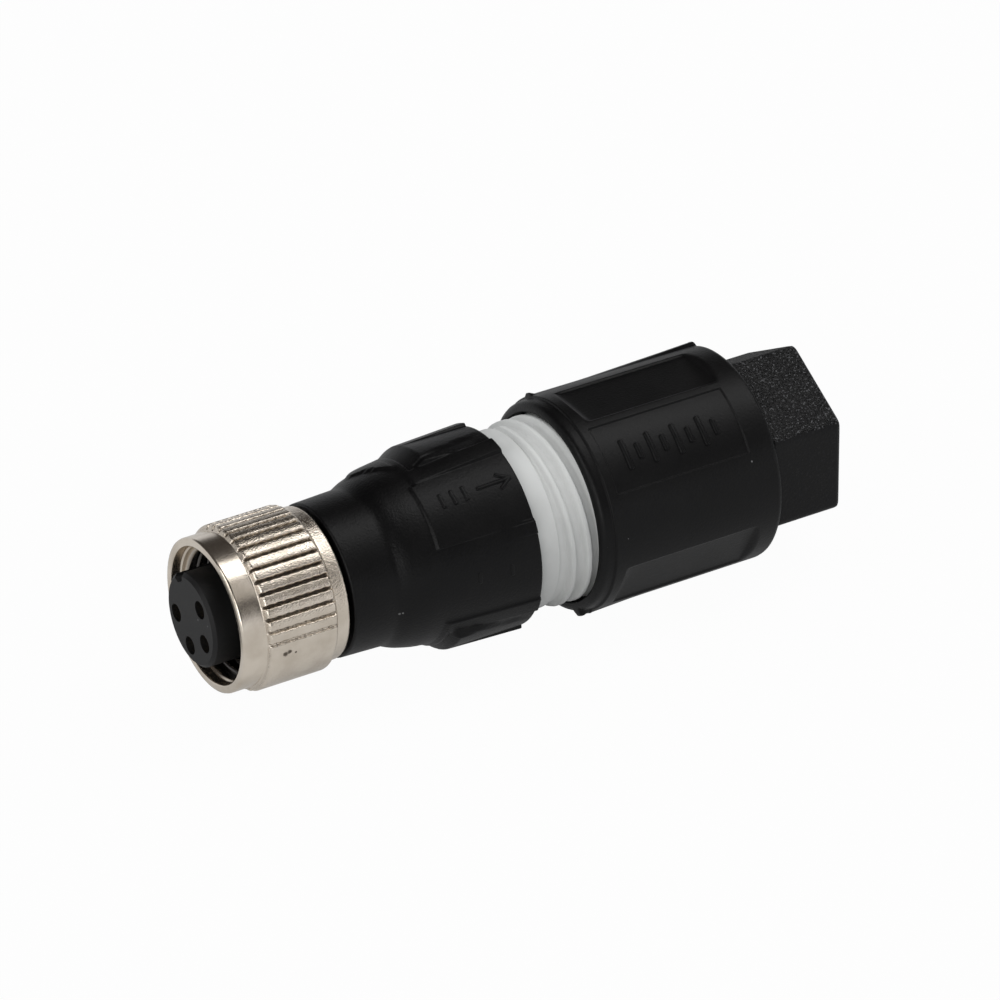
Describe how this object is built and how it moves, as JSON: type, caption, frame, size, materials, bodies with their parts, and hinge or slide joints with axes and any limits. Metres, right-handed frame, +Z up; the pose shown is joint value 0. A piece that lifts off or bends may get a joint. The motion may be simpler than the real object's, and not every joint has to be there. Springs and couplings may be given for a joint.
{
  "type": "sensor connector",
  "caption": "Straight field-wired M12 socket connector: knurled metal coupling nut, black body, light grey threaded sleeve, ribbed grip nut with a hexagon.",
  "frame": {"origin": "centre of the coupling nut's front face, on the connector's axis", "axes": "+X along the axis from the mating end to the cable end, +Z up, with the connector lying on its side as pictured"},
  "size_m": [0.0615, 0.0196, 0.0196],
  "materials": {
    "coupling_nut": "nickel plated, lightly worn",
    "nut_snap_ring": "spring steel",
    "contact_insert": "satin moulded",
    "socket": "gold plated",
    "fork": "tin plated",
    "ring_seal": "smooth",
    "front_body": "satin moulded",
    "terminal_block": "moulded",
    "threaded_sleeve": "light grey, satin moulded",
    "pressure_nut": "satin moulded",
    "wire_guide": "moulded",
    "cable_seal": "smooth",
    "clamp_cage": "moulded",
    "slip_ring": "moulded"
  },
  "bodies": {
    "housing": {"front_body": "front_body", "nut_snap_ring": "nut_snap_ring", "contact_insert": "contact_insert", "socket_1": "socket", "socket_2": "socket", "socket_3": "socket", "socket_4": "socket", "fork_1": "fork", "fork_2": "fork", "fork_3": "fork", "fork_4": "fork", "ring_seal": "ring_seal", "terminal_block": "terminal_block", "threaded_sleeve": "threaded_sleeve"},
    "coupling": {"coupling_nut": "coupling_nut"},
    "clamp": {"wire_guide": "wire_guide", "cable_seal": "cable_seal", "clamp_cage": "clamp_cage", "slip_ring": "slip_ring"},
    "pressing": {"pressure_nut": "pressure_nut"}
  },
  "joints": [
    {"name": "coupling_spin", "type": "hinge", "parent": "housing", "child": "coupling", "pos_m": [0.005, 0, 0], "axis": [1, 0, 0], "continuous": true},
    {"name": "clamp_travel", "type": "slide", "parent": "housing", "child": "clamp", "axis": [1, 0, 0], "range_m": [-0.0053, 0.0036]},
    {"name": "pressure_nut_turn", "type": "hinge", "parent": "clamp", "child": "pressing", "pos_m": [0.045, 0, 0], "axis": [1, 0, 0], "range_deg": [-596, 404]}
  ],
  "couplings": [
    {"joint": "clamp_travel", "follows": "pressure_nut_turn", "m_per_rad": 0.0005093}
  ]
}
